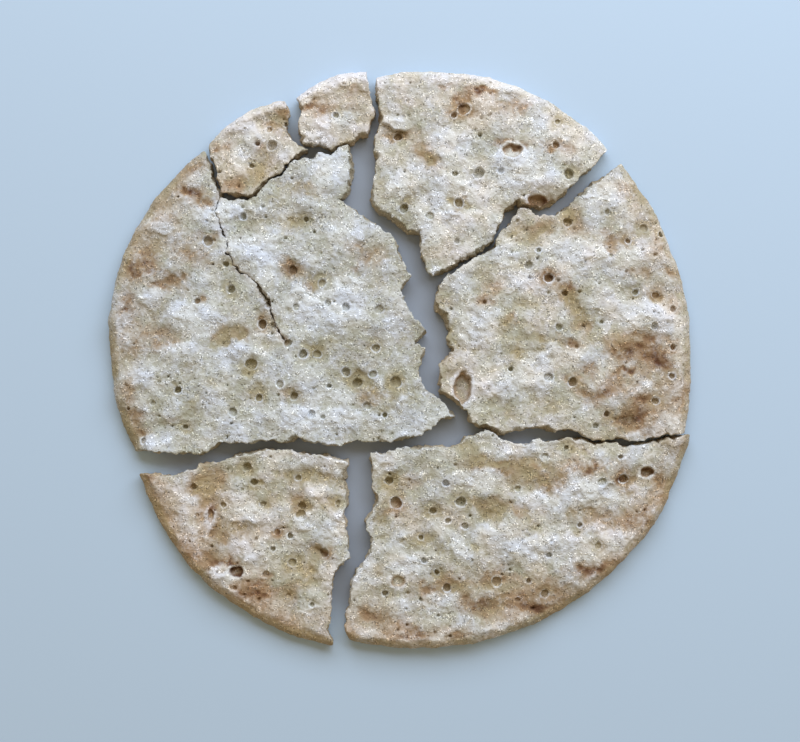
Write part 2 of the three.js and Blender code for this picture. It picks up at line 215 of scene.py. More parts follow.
class Slab:
    """One piece of the bread in the making, its points in millimetres from where the round was drawn."""

    def __init__(self, name, rim):
        """Takes the blank's points, and finds the top, the underside, the rim and the breaks."""
        self.name = name
        self.mesh = slab_blank(name)
        place = np.empty(3 * len(self.mesh.vertices))
        self.mesh.vertices.foreach_get("co", place)
        x, y, z = (place.reshape(-1, 3) / MM).T
        self.x, self.y, self.z = x - DRAWN[0], y - DRAWN[1], z
        self.rise = np.clip(z / THICKNESS, 0, 1)
        self.top = ease(0.955, 0.99, self.rise)
        self.below = 1 - ease(0.01, 0.045, self.rise)
        self.find_rim(*rim)
        self.find_breaks()
        self.cracked = 0
        self.raised = 0
        self.flaked = 0

    def find_rim(self, start, end, bulge):
        """How far each point lies inside the circle of the rim, and which way is out."""
        (sx, sy), (ex, ey) = start, end
        chord = math.hypot(ex - sx, ey - sy)
        radius = (chord**2 / 4 + bulge**2) / (2 * bulge)
        inward = (-(ey - sy) / chord, (ex - sx) / chord)
        cx = (sx + ex) / 2 + inward[0] * (radius - bulge)
        cy = (sy + ey) / 2 + inward[1] * (radius - bulge)
        across = self.x - RIM_SWAY * noise(self.x / SWELL, self.y / SWELL, 31) - cx
        up = self.y - RIM_SWAY * noise(self.x / SWELL, self.y / SWELL, 43) - cy
        away = np.hypot(across, up)
        self.inset = np.clip(radius - away, 0, None)
        self.out_x, self.out_y = across / away, up / away

    def find_breaks(self):
        """How far the nearest break is, which way it faces, and its room before the next piece."""
        x, y = self.x, self.y
        side = np.nonzero((self.rise > 0.4) & (self.rise < 0.6) & (self.inset > 0.45))[0]
        walls = flat_tree(list(zip(x[side], y[side])))
        found = [walls.find((a, b, 0)) for a, b in zip(x, y)]
        self.to_break = np.array([f[2] for f in found])
        nearest = np.array([f[1] for f in found])
        facing = self.normals()[:, side]
        self.facing_x, self.facing_y = facing[0][nearest], facing[1][nearest]
        solids = [solid for node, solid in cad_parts.items() if node != self.name]
        corners = [v.co / MM for solid in solids for v in solid.data.vertices]
        corners = [c for c in corners if 0.5 < c.z < 3.5]
        others = flat_tree([(c.x - DRAWN[0], c.y - DRAWN[1]) for c in corners])
        self.room = np.array([others.find((x[v], y[v], 0))[2] for v in side])[nearest]

    def normals(self):
        """Which way the mesh faces at each point."""
        facing = np.empty(3 * len(self.mesh.vertices))
        self.mesh.vertex_normals.foreach_get("vector", facing)
        return facing.reshape(-1, 3).T

    def settle(self):
        """Puts the mesh where the points now are."""
        placed = np.stack((self.x + DRAWN[0], self.y + DRAWN[1], self.z), axis=1) * MM
        self.mesh.vertices.foreach_set("co", placed.ravel())
        self.mesh.update()

    def open_crack(self, crack, gape):
        """The crack, which narrows towards the underside and gapes at one place."""
        gap, away_x, away_y = beside_line(self.x, self.y, crack)
        gaping = 1 - ease(0, GAPE_REACH, np.hypot(self.x - gape[0], self.y - gape[1]))
        half = CRACK_HALF + (CRACK_GAPE - CRACK_HALF) * gaping
        opened = 0.15 + 0.3 * np.clip(0.5 + noise(self.x / 3.1, self.y / 3.1, 97), 0, 1) + 0.5 * gaping
        share = 0.93 - opened * ease(0.55 + 0.15 * gaping, 1, self.rise)
        closing = half * share * (1 - ease(half + 0.2, half + 1.6, gap))
        self.x, self.y = self.x - closing * away_x, self.y - closing * away_y
        self.cracked = np.exp(-((gap / (half + 0.35)) ** 2))

    def swell_up(self, browned, golden, pale, waves):
        """The swells of the crust: floured places stand high, browned and golden ones lie low."""
        x, y = self.x, self.y
        height = crust_height(x, y)
        self.swell = height - THICKNESS
        self.humps = noise(x / 5.1, y / 4.4, 61)
        self.lumps = noise(x / 2.3 + y / 9, y / 2.1 - x / 9, 63)
        self.browning = coverage(x, y, browned, 107)
        self.tinting = coverage(x, y, golden, 117)
        self.whitening = coverage(x, y, pale, 111)
        height = height + HUMP * self.humps + LUMP * self.lumps + waves * noise(x / 13, y / 4.6, 65)
        self.height = height + self.whitening - BROWN_DIP * np.maximum(self.browning, self.tinting)

    def bend_rim(self):
        """Bends the blank's upright side round the rim, and lifts its top to the crust."""
        low = RIM_WIDEST / THICKNESS
        rounded = THICKNESS - RIM_WIDEST
        turn = RIM_TURN * np.clip((self.rise - low) / (1 - low), 0, 1)
        tucked = RIM_TUCK * np.clip(1 - self.rise / low, 0, None) ** 1.5
        bent = np.where(self.rise < low, tucked, RIM_ROUND * (1 - np.cos(turn)))
        near = np.clip(1 - self.inset / RIM_ROUND, 0, 1)
        new_inset = self.inset + bent * near
        dome = np.sqrt(np.clip(1 - np.clip(1 - new_inset / RIM_ROUND, 0, 1) ** 2, 0, 1))
        crust = RIM_WIDEST + (self.height - RIM_WIDEST) * dome
        profile = np.where(
            self.rise < low,
            self.rise / low * RIM_WIDEST,
            RIM_WIDEST + rounded * np.sin(turn),
        )
        profile = profile / (RIM_WIDEST + rounded * math.sin(RIM_TURN))
        start = self.inset + RIM_ROUND * (1 - math.cos(RIM_TURN)) * near
        start_turn = np.arccos(np.clip(1 - start / RIM_ROUND, 0, 1))
        crust_at_start = RIM_WIDEST + (self.height - RIM_WIDEST) * np.sin(start_turn)
        lifted = crust_at_start * (near * profile + (1 - near) * self.rise)
        self.z = np.where(self.rise > 0.995, crust, lifted)
        self.x = self.x - self.out_x * bent * near
        self.y = self.y - self.out_y * bent * near

    def tear_breaks(self):
        """The lean of the breaks, as the solids have it, and the tears along them."""
        x, y, z = self.x, self.y, self.z
        self.torn = ease(0.5, 4, self.inset)
        shift_x = tear(x, y, z, 11) - tear(x, y, SECTION, 11)
        shift_y = tear(x, y, z, 23) - tear(x, y, SECTION, 23)
        ragged = self.torn * np.exp(-((self.to_break / 0.9) ** 2))
        for size, amount in TATTERS:
            shift_x = shift_x + ragged * amount * noise(x / size, y / size, 13 + z / (3 * size))
            shift_y = shift_y + ragged * amount * noise(x / size, y / size, 25 + z / (3 * size))
        self.x, self.y = x + self.torn * shift_x, y + self.torn * shift_y

    def crumb_ledge_for_shade(self):
        """Crumb that stands out in a low ledge on breaks that face down the round and have room, partly as
        painted shade where shade falls below them.
        """
        x, y = self.x, self.y
        ledge = np.clip(-1.3 * self.facing_y - 0.35 * self.facing_x, 0, 1)
        ledge = ledge * np.clip(0.5 * (self.room - LEDGE_ROOM), 0, SHADE_LEDGE)
        ledge = ledge * np.clip(0.7 + 0.7 * noise(x / 6, y / 6, 33) + 0.3 * noise(x / 1.7, y / 1.7, 35), 0, 1)
        ledge = ledge * self.torn * np.exp(-((self.to_break / 1.1) ** 2)) * (1 - ease(0.4, 0.7, self.rise))
        self.x, self.y = x + ledge * self.facing_x, y + ledge * self.facing_y

    def roughen(self):
        """The pebbly grain of the crust, and the bubbles that stand open in the crumb of the breaks."""
        self.settle()
        normal = self.normals()
        x, y, z = self.x, self.y, self.z
        self.wall = (1 - self.top) * (1 - self.below) * ease(0.6, 1.6, self.inset)
        pebbles = noise(x / 1.15, y / 1.15, 71 + z / 1.15)
        grains = noise(x / 0.52, y / 0.52, 73 + z / 0.52)
        bubbles = noise(x / 0.9, y / 0.9, 75 + z / 0.7)
        rim_side = 1 - ease(0.8, 2.4, self.inset)
        rim_lumps = 0.3 * noise(x / 4, y / 4, 77 + z / 4) + 0.12 * self.lumps
        lift = PEBBLE * pebbles + GRAIN * grains + rim_side * rim_lumps
        lift = lift + self.wall * (0.16 * bubbles - 0.2 * ease(0.1, 0.6, bubbles))
        lift = lift - self.below * (0.1 + 0.1 * self.lumps)
        self.x, self.y, self.z = x + lift * normal[0], y + lift * normal[1], z + lift * normal[2]

    def prick(self, pores):
        """The steam holes, each a pixel and a width in pixels, and finer ones strewn between them."""
        holes = [(*from_photo(across, down), HOLE_SHARE * width * PIXEL) for across, down, width in pores]
        for i in range(int(self.x.min() // STREWN_CELL), int(self.x.max() // STREWN_CELL) + 1):
            for j in range(int(self.y.min() // STREWN_CELL), int(self.y.max() // STREWN_CELL) + 1):
                if corner_value(i, j, 84) < STREWN_SHARE:
                    hx = (i + 0.1 + 0.8 * corner_value(i, j, 81)) * STREWN_CELL
                    hy = (j + 0.1 + 0.8 * corner_value(i, j, 82)) * STREWN_CELL
                    holes.append((hx, hy, 0.3 + 0.42 * corner_value(i, j, 83) ** 2))
        self.sink = np.zeros_like(self.x)
        self.hole_bare_and_shade = np.zeros_like(self.x)
        self.lip = np.zeros_like(self.x)
        self.dimple = np.zeros_like(self.x)
        for hole in holes:
            self.sink_hole(*hole)

    def sink_hole(self, hx, hy, width):
        """One steam hole: its depth, how bare of flour and how dark it is, its floured lip and the dimple
        round it.
        """
        reach = 1.1 * width + 1.6
        near = (abs(self.x - hx) < reach) & (abs(self.y - hy) < reach) & (self.top > 0.5)
        close = np.nonzero(near)[0]
        dx, dy = self.x[close] - hx, self.y[close] - hy
        angle = np.arctan2(dy, dx)
        r = np.hypot(dx, dy)
        edge = 0.5 * width * (1 + 0.07 * np.cos(2 * angle + 9 * hx) + 0.04 * np.cos(3 * angle + 7 * hy))
        beyond = r - edge
        inside = 1 - ease(-0.07, 0.07, beyond)
        depth = min(0.4 * width + 0.65, DEEPEST_HOLE) * (0.45 + 0.6 * corner_value(hx, hy, 87))
        self.sink[close] = np.maximum(self.sink[close], depth * inside)
        # Painted shade: the narrower the hole, the barer of flour and so the darker it is left.
        dark = (0.3 + 0.7 * corner_value(hx, hy, 88)) * 1.6 / (width + 0.4)
        self.hole_bare_and_shade[close] = np.maximum(self.hole_bare_and_shade[close], inside * min(dark, 1))
        if width > WIDE_HOLE:
            drawn = beyond * (0.35 + 0.65 * np.clip(abs(beyond) / 0.4, 0, 1))
            self.x[close] += dx / np.maximum(r, 1e-6) * (drawn - beyond)
            self.y[close] += dy / np.maximum(r, 1e-6) * (drawn - beyond)
            floured = 0.25 + 0.75 * corner_value(hx, hy, 89)
            lip = floured * np.exp(-(((beyond - 0.17) / 0.16) ** 2))
            self.lip[close] = np.maximum(self.lip[close], lip)
            dimple = corner_value(hx, hy, 86) * (1 - ease(0.2, 1, beyond / (0.6 * width + 1.2)))
            self.dimple[close] = np.maximum(self.dimple[close], dimple)

    def burst_blisters(self, hollows):
        """Broken blisters, each a pixel, a half width and half height in pixels, and a depth."""
        x, y = self.x, self.y
        self.scorch = np.zeros_like(x)
        for across, down, wide, high, depth in hollows:
            hx, hy = from_photo(across, down)
            wobble = 1 + 0.16 * noise(x / 0.9, y / 0.9, 91)
            r = np.hypot((x - hx) / (wide * PIXEL), (y - hy) / (high * PIXEL)) * wobble
            self.sink = np.maximum(self.sink, self.top * depth * (1 - ease(0.7, 1.1, r)))
            self.hole_bare_and_shade = np.maximum(self.hole_bare_and_shade, 0.5 * self.top * (1 - ease(0.75, 1.15, r)))
            self.scorch = np.maximum(self.scorch, self.top * np.exp(-(((r - 0.9) / 0.25) ** 2)))
            self.lip = np.maximum(self.lip, self.top * np.exp(-(((r - 1.2) * wide * PIXEL / 0.5) ** 2)))
        sunk = np.minimum(self.sink, np.clip(self.z - BREAD_LEFT, 0, None))
        self.z = self.z + self.top * (0.05 * self.lip - 0.2 * self.dimple) - sunk
        self.z = np.clip(self.z, 0, None)

    def lift_flake(self, start, end, lifted_by, dropped_by):
        """A flake of crust that has lifted, its free edge along a line and the sheet on the left of it."""
        ax, ay = from_photo(*start)
        bx, by = from_photo(*end)
        length = math.hypot(bx - ax, by - ay)
        ux, uy = (bx - ax) / length, (by - ay) / length
        along = (self.x - ax) * ux + (self.y - ay) * uy
        beside = (self.x - ax) * -uy + (self.y - ay) * ux + 0.35 * noise(along / 1.6, 0 * along, 95)
        span = ease(-0.6, 1.2, along) * (1 - ease(length - 1.2, length + 0.6, along)) * self.top
        self.raised = span * ease(-0.12, 0.12, beside) * np.exp(-np.clip(beside, 0, None) / 1.6)
        self.flaked = span * ease(-0.12, 0.12, -beside) * np.exp(-np.clip(-beside, 0, None) / 1.3)
        self.z = self.z + lifted_by * self.raised - dropped_by * self.flaked

    def toast(self, rim_tan_light_and_shade, blush):
        """How far each point is toasted, tinted by the dough beneath, dusted, opened, or bare crumb, with
        painted shade and light.
        """
        x, y, inset = self.x, self.y, self.inset
        browning, tinting = self.browning, self.tinting
        dapple = 0.7 + 0.4 * noise(x / 6, y / 6, 101) + 0.25 * noise(x / 1.8, y / 1.8, 103)
        # Painted light and shade at the rim: the higher the piece's rim share, the more its rim is toasted
        # and its edge gilded, partly real browning and partly painted shade on rims turned from the window;
        # below zero the rim is left paler, as painted light on rims that face the window.
        rim_toast_light_and_shade = rim_tan_light_and_shade * np.clip((1 - ease(1, 8, inset)) * dapple, 0, 1)
        rim_toast_light_and_shade = rim_toast_light_and_shade * (1 - np.clip(browning + tinting, 0, 1))
        verge_gold_and_shade = (rim_tan_light_and_shade + 0.45) * (1 - ease(0.3, 2.4, inset))
        outer = 1 - ease(2, 11, inset)
        # Low places of the crust are more golden and less floured: partly their own colour, partly painted
        # shade for the shade that falls in them.
        dip_tone_and_shade = np.clip(-(0.9 * self.swell + 0.42 * self.humps + 0.22 * self.lumps), -1, 1)
        toast = 0.08 + 0.06 * dip_tone_and_shade + 0.06 * noise(x / 8, y / 8, 105) + rim_toast_light_and_shade + 0.05 * outer
        toast = toast + 0.3 * self.flaked + 0.3 * self.scorch
        # The crust is also darker and browner along the crack.
        toast = toast + browning * (0.84 + 0.34 * browning) + 0.3 * self.cracked
        gold = 0.35 * np.clip(dip_tone_and_shade, 0, 1) + 0.22 * noise(x / 3.2, y / 3.2, 115)
        gold = gold + 1.1 * tinting + 0.3 * self.dimple + 0.6 * verge_gold_and_shade
        flour = 0.45 + self.whitening - 0.25 * dip_tone_and_shade + 0.14 * noise(x / 3.6, y / 3.6, 109)
        flour = flour - 0.75 * browning - 0.7 * tinting - 0.7 * rim_toast_light_and_shade
        flour = flour - 0.25 * self.dimple + 0.6 * self.lip - 0.4 * verge_gold_and_shade + 0.03 * outer
        flour = flour + 0.5 * self.raised - 0.3 * self.scorch
        under_toast = 0.42 + 0.2 * noise(x / 7, y / 7, 121) + 0.12 * self.lumps
        under_flour = 0.3 + 0.2 * noise(x / 5, y / 5, 123)
        mottle = 0.6 * noise(x / 6, y / 6, 125) + 0.5 * noise(x / 2.6, y / 2.6, 127)
        self.dye("toast", np.where(self.below > 0.5, under_toast, toast))
        self.dye("gold", gold)
        self.dye("flour", np.where(self.below > 0.5, under_flour, flour))
        self.dye("pore", self.hole_bare_and_shade)
        self.dye("crumb", np.clip(self.wall, 0, 1) * (1 - 0.8 * ease(0.5, 0.85, self.rise)))
        self.dye("tone", 0.5 + 0.5 * (blush + 0.5 * outer + mottle))

    def dye(self, kind, values):
        """Keeps a share from 0 to 1 at each point, for the material to read."""
        share = self.mesh.attributes.new(kind, "FLOAT", "POINT")
        share.data.foreach_set("value", np.clip(values, 0, 1).astype(np.float32))

    def finish(self):
        """Thins the underside, because it shows little, and puts the piece in its place."""
        piece = bpy.data.objects.new(self.name + "_bread", self.mesh)
        bpy.context.scene.collection.objects.link(piece)
        hidden = piece.vertex_groups.new(name="underside")
        flat = np.nonzero((self.rise < 0.02) & (self.to_break > 0.6) & (self.inset > 1))[0]
        hidden.add([int(v) for v in flat], 1, "REPLACE")
        thin = piece.modifiers.new("thin", "DECIMATE")
        thin.vertex_group = "underside"
        thin.ratio = UNDERSIDE_KEPT
        thinned = bpy.data.meshes.new_from_object(piece.evaluated_get(bpy.context.evaluated_depsgraph_get()))
        piece.modifiers.clear()
        piece.vertex_groups.clear()
        piece.data = thinned
        thinned.name = self.name + "_bread"
        thinned.materials.clear()
        thinned.materials.append(bread)
        thinned.shade_smooth()
        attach(piece, "root")
        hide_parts(self.name)


def bake(
    name, rim, rim_tan_light_and_shade, blush, pores, browned, golden, pale,
    hollows=(), waves=0, flake=None, crack=None, gape=None,
):
    """One piece of the bread: bent to the rim, swollen, torn along its breaks, pricked and toasted."""
    slab = Slab(name, rim)
    if crack:
        slab.open_crack(crack, gape)
    slab.swell_up(browned, golden, pale, waves)
    slab.bend_rim()
    slab.tear_breaks()
    slab.crumb_ledge_for_shade()
    slab.roughen()
    slab.prick(pores)
    slab.burst_blisters(hollows)
    if flake:
        slab.lift_flake(*flake)
    slab.settle()
    slab.toast(rim_tan_light_and_shade, blush)
    slab.finish()


class Strand:
    """One socket of a material's nodes. Sums and products of strands add Math nodes to the material."""

    def __init__(self, tree, socket=None):
        self.tree = tree
        self.socket = socket

    def add(self, kind, settings, inputs, output=0):
        """Adds a node of a kind, with its settings and then the values or links of its sockets."""
        node = self.tree.nodes.new("ShaderNode" + kind)
        for name, value in settings.items():
            if name == "stops":
                ramp = node.color_ramp
                while len(ramp.elements) < len(value):
                    ramp.elements.new(1)
                for element, (at, colour) in zip(ramp.elements, value):
                    element.position = at
                    element.color = (*colour, 1)
            else:
                setattr(node, name, value)
        for name, value in inputs.items():
            if isinstance(value, Strand):
                self.tree.links.new(value.socket, node.inputs[name])
            else:
                node.inputs[name].default_value = value
        return Strand(self.tree, node.outputs[output] if node.outputs else None)

    def sum_up(self, operation, first, second):
        """A Math node on two strands or numbers."""
        return self.add("Math", {"operation": operation}, {0: first, 1: second})

    def __add__(self, other):
        return self.sum_up("ADD", self, other)

    def __radd__(self, other):
        return self.sum_up("ADD", other, self)

    def __sub__(self, other):
        return self.sum_up("SUBTRACT", self, other)

    def __rsub__(self, other):
        return self.sum_up("SUBTRACT", other, self)

    def __mul__(self, other):
        return self.sum_up("MULTIPLY", self, other)

    def __rmul__(self, other):
        return self.sum_up("MULTIPLY", other, self)


# Colours of the dough from barely baked to scorched, and of what lies on it, as linear light
OLIVE = (0.385, 0.372, 0.28)
TAN = (0.37, 0.305, 0.22)
AMBER = (0.322, 0.232, 0.145)
BROWN = (0.232, 0.147, 0.082)
SCORCHED = (0.11, 0.05, 0.025)
GOLD = (0.345, 0.29, 0.17)
CRUMB = (0.44, 0.37, 0.265)
CREAM_FLOUR = (0.665, 0.67, 0.655)
COOL_FLOUR = (0.63, 0.655, 0.705)
BLUSH = (1.08, 1, 0.95)
COOL = (0.965, 1, 1.06)
PIT_SHADE = (0.1, 0.075, 0.05)
BUBBLE_SIZE = 0.8  # spacing of the burst bubbles in the skin of the crust
GRAIN_HEIGHT = 0.27  # height of the finest grain

bread = bpy.data.materials.new("rye_bread")
bread.use_nodes = True
bread.node_tree.nodes.clear()
loom = Strand(bread.node_tree)


def spread(kind):
    """A share that the piece keeps at each of its points."""
    return loom.add("Attribute", {"attribute_name": kind}, {}, "Fac")


def speckle(size, detail):
    """Noise from 0 to 1 with lumps of a size in millimetres."""
    return loom.add("TexNoise", {}, {"Vector": where, "Scale": 1 / (size * MM), "Detail": detail})


def step(value, low, high):
    """0 below low, 1 above high, and a smooth rise between them."""
    return loom.add(
        "MapRange",
        {"interpolation_type": "SMOOTHSTEP"},
        {"Value": value, "From Min": low, "From Max": high},
    )


def tint(share, under, over, blend="MIX"):
    """One colour laid over another by a share."""
    return loom.add("Mix", {"data_type": "RGBA", "blend_type": blend}, {0: share, 6: under, 7: over}, 2)


where = loom.add("TexCoord", {}, {}, "Object")
froth = speckle(0.75, 2)
fine = speckle(0.4, 1)
dust = speckle(0.3, 0)
strewn = step(speckle(1, 1), 0.48, 0.6)
coarse = speckle(1.7, 3)
patchy = speckle(2.8, 3)
broad = speckle(5, 2)
toasted = spread("toast") + 0.2 * (coarse - 0.5) + 0.3 * (patchy - 0.5)
dough = loom.add(
    "ValToRGB",
    {"stops": [(0.08, OLIVE), (0.26, TAN), (0.48, AMBER), (0.72, BROWN), (1, SCORCHED)]},
    {"Fac": toasted},
)
dough = tint(step(spread("gold") + 0.5 * (coarse - 0.5), 0.05, 0.8) * 0.85, dough, (*GOLD, 1))
dough = tint(spread("crumb") * 0.85, dough, (*CRUMB, 1))
flour = tint(step(broad, 0.4, 0.6), (*CREAM_FLOUR, 1), (*COOL_FLOUR, 1))
# Holes and broken blisters are bare of flour, narrow holes barer as painted shade; breaks are bare crumb.
bare = 0.5 * spread("pore") + spread("crumb")
fold = loom.add("Math", {"operation": "ABSOLUTE"}, {0: speckle(1.3, 1) - 0.5})
wrinkle = step(1 - 8 * fold, 0.2, 1)
cover = spread("flour") - 0.6 * bare + 0.7 * (coarse - 0.5) + 0.55 * (patchy - 0.5)
cover = cover + 0.5 * (froth - 0.5) + 0.15 * (fine - 0.5) + 0.1 * wrinkle
dusted = step(cover, 0, 0.95)
colour = tint(dusted, dough, flour)
tone = 2 * spread("tone") - 1
colour = tint(tone, colour, (*BLUSH, 1), "MULTIPLY")
colour = tint(-1 * tone, colour, (*COOL, 1), "MULTIPLY")
# Painted highlights and shade: sparse bright specks raise the colour, partly flour flakes and partly painted
# glints, and sparse dark specks lower it, as painted shade of tiny pits.
glint = strewn * step(dust, 0.58, 0.7)
sparkle = 1.02 + 0.95 * glint - 0.6 * strewn * step(1 - dust, 0.6, 0.72) + 0.25 * (froth - 0.5)
colour = loom.add("VectorMath", {"operation": "SCALE"}, {0: colour, "Scale": sparkle})
bubble = loom.add("TexVoronoi", {}, {"Vector": where, "Scale": 1 / (BUBBLE_SIZE * MM)}, "Distance")
chance = loom.add("TexVoronoi", {}, {"Vector": where, "Scale": 1 / (BUBBLE_SIZE * MM)}, "Color")
# Painted shade: some burst bubbles in the skin are darkened towards near black, for the shade inside them.
burst = step(0.75 * chance - 0.36 - bubble, 0, 0.08)
colour = tint(burst * 0.42, colour, (*PIT_SHADE, 1))
grain = 0.8 * froth + 0.3 * fine + 0.3 * glint + 0.2 * wrinkle - 0.8 * burst
bump = loom.add("Bump", {}, {"Strength": 0.75, "Distance": GRAIN_HEIGHT * MM, "Height": grain})
shader = loom.add(
    "BsdfPrincipled",
    {},
    {"Base Color": colour, "Roughness": 0.85 - 0.15 * dusted, "Specular IOR Level": 0.3, "Normal": bump},
)
loom.add("OutputMaterial", {}, {"Surface": shader})

bake(
    "left_slab",
    rim=((-44.7, 46.6), (-59.5, -20.5), 12.6),
    rim_tan_light_and_shade=0.1,
    blush=-0.9,
    pores=[
        (208, 241, 10), (243, 216, 7), (306, 219, 5), (231, 289, 8), (197, 301, 6), (262, 324, 9),
        (273, 325, 6), (293, 270, 9), (226, 264, 6), (322, 283, 8), (296, 307, 7), (346, 307, 8),
        (328, 303, 7), (379, 309, 9), (288, 343, 8), (303, 354, 9), (317, 354, 8), (376, 348, 8),
        (373, 374, 8), (346, 372, 9), (396, 382, 11), (367, 406, 8), (385, 415, 5), (259, 398, 7),
        (294, 396, 8), (280, 384, 8), (329, 386, 5), (178, 390, 7), (251, 364, 12), (357, 383, 10),
        (233, 412, 9), (312, 414, 8), (323, 417, 5), (143, 441, 6), (153, 403, 5), (185, 427, 5),
    ],
    browned=[
        (193, 165, 10, 8, 0.35), (184, 188, 13, 6, 0.5), (200, 196, 9, 9, 0.4), (206, 204, 11, 7, 0.4),
        (150, 258, 10, 12, 0.45), (131, 269, 12, 6, 0.5), (147, 273, 10, 6, 0.45), (160, 283, 11, 7, 0.4),
        (175, 283, 10, 8, 0.4), (195, 258, 16, 13, 0.35), (208, 241, 8, 6, 0.45), (122, 311, 10, 11, 0.55),
        (197, 301, 5, 5, 0.4), (165, 335, 18, 10, 0.22), (140, 340, 20, 10, 0.25), (243, 334, 11, 10, 0.4),
        (222, 340, 11, 9, 0.4), (262, 324, 8, 7, 0.45), (287, 343, 7, 6, 0.4), (128, 383, 8, 15, 0.35),
        (131, 415, 10, 8, 0.5), (140, 434, 12, 11, 0.55), (173, 418, 14, 6, 0.25), (293, 395, 11, 6, 0.4),
        (307, 190, 12, 7, 0.35), (292, 270, 9, 8, 0.5), (310, 286, 9, 8, 0.4), (355, 247, 10, 7, 0.35),
        (372, 256, 15, 8, 0.35), (355, 268, 8, 7, 0.3), (370, 395, 14, 8, 0.3), (175, 235, 40, 50, 0.14),
        (140, 330, 26, 60, 0.1),
    ],
    golden=[
        (243, 334, 12, 11, 0.6), (222, 340, 12, 10, 0.5), (252, 364, 13, 7, 0.6), (178, 388, 8, 8, 0.5),
        (185, 425, 8, 8, 0.5), (260, 394, 11, 11, 0.5), (293, 395, 12, 7, 0.5), (307, 190, 13, 8, 0.5),
        (310, 286, 9, 9, 0.5), (290, 222, 13, 8, 0.4), (255, 218, 16, 7, 0.3), (280, 195, 26, 18, 0.25),
        (320, 250, 28, 15, 0.3), (356, 383, 11, 7, 0.6), (370, 395, 17, 8, 0.5), (396, 383, 9, 9, 0.55),
        (407, 394, 10, 9, 0.5), (388, 412, 11, 8, 0.5), (335, 340, 20, 10, 0.3), (312, 352, 14, 9, 0.4),
        (265, 345, 18, 8, 0.35), (187, 367, 9, 9, 0.3), (228, 263, 10, 7, 0.4), (345, 304, 18, 8, 0.3),
        (195, 400, 45, 40, 0.3), (190, 245, 35, 45, 0.12),
    ],
    pale=[
        (225, 209, 26, 7, 0.5), (262, 250, 24, 13, 0.6), (348, 288, 17, 16, 0.6), (298, 305, 20, 18, 0.6),
        (180, 318, 18, 10, 0.4), (240, 352, 16, 9, 0.6), (265, 336, 12, 6, 0.4), (185, 350, 17, 7, 0.4),
        (335, 168, 20, 16, 0.4), (160, 442, 14, 8, 0.4), (230, 424, 18, 8, 0.3), (310, 425, 34, 10, 0.5),
        (360, 416, 30, 10, 0.4), (150, 374, 15, 11, 0.4), (165, 225, 22, 18, 0.2), (395, 320, 16, 24, 0.3),
        (150, 300, 14, 9, 0.3), (205, 340, 10, 6, 0.3), (330, 400, 18, 8, 0.3), (210, 400, 14, 10, 0.2),
    ],
    crack=[
        (-40.2, 38), (-40.6, 34.3), (-41.6, 33.2), (-40.4, 29.5), (-38.8, 26.4), (-39.2, 23.9),
        (-36.3, 19.4), (-32.6, 16.9), (-31.4, 14.4), (-28.4, 9.6), (-28, 7), (-26.2, 4.3),
    ],
    gape=(-31.4, 14.4),
)


# The upper left chip, a five-sided piece off the rim. It is the same dough, tanned nearly all over because it
# lay at the edge of the stone.
bake(
    "upper_left_chip",
    rim=((-26, 58.1), (-43.8, 47.9), 1.7),
    rim_tan_light_and_shade=-0.3,
    blush=0.6,
    pores=[(257, 143, 5), (269, 129, 6), (286, 124, 5), (272, 145, 10), (251, 165, 5)],
    browned=[
        (283, 110, 11, 7, 0.4), (270, 127, 8, 7, 0.35), (258, 143, 5, 5, 0.4), (222, 147, 15, 11, 0.35),
        (232, 190, 24, 8, 0.4),
    ],
    golden=[(283, 112, 12, 8, 0.4), (262, 172, 16, 8, 0.4), (240, 178, 16, 10, 0.3)],
    pale=[(250, 134, 18, 10, 0.5), (238, 164, 16, 12, 0.4), (282, 150, 12, 10, 0.4)],
)


# The top chip, a small four-sided piece off the rim beside it. It is the same rolled and dusted dough, brown
# in one dip and golden along its lower break, and it was snapped free on three sides.
bake(
    "top_chip",
    rim=((-7.8, 64.4), (-23.5, 59), 1.3),
    rim_tan_light_and_shade=-0.42,
    blush=0.6,
    pores=[(336, 115, 6)],
    browned=[(312, 104, 13, 8, 0.6), (350, 86, 18, 9, 0.25), (350, 105, 12, 8, 0.2), (325, 116, 10, 8, 0.2)],
    golden=[(318, 148, 14, 7, 0.6), (340, 150, 10, 5, 0.5), (348, 96, 18, 14, 0.3)],
    pale=[(325, 132, 24, 11, 0.6), (356, 122, 14, 11, 0.4), (315, 88, 13, 7, 0.3)],
)


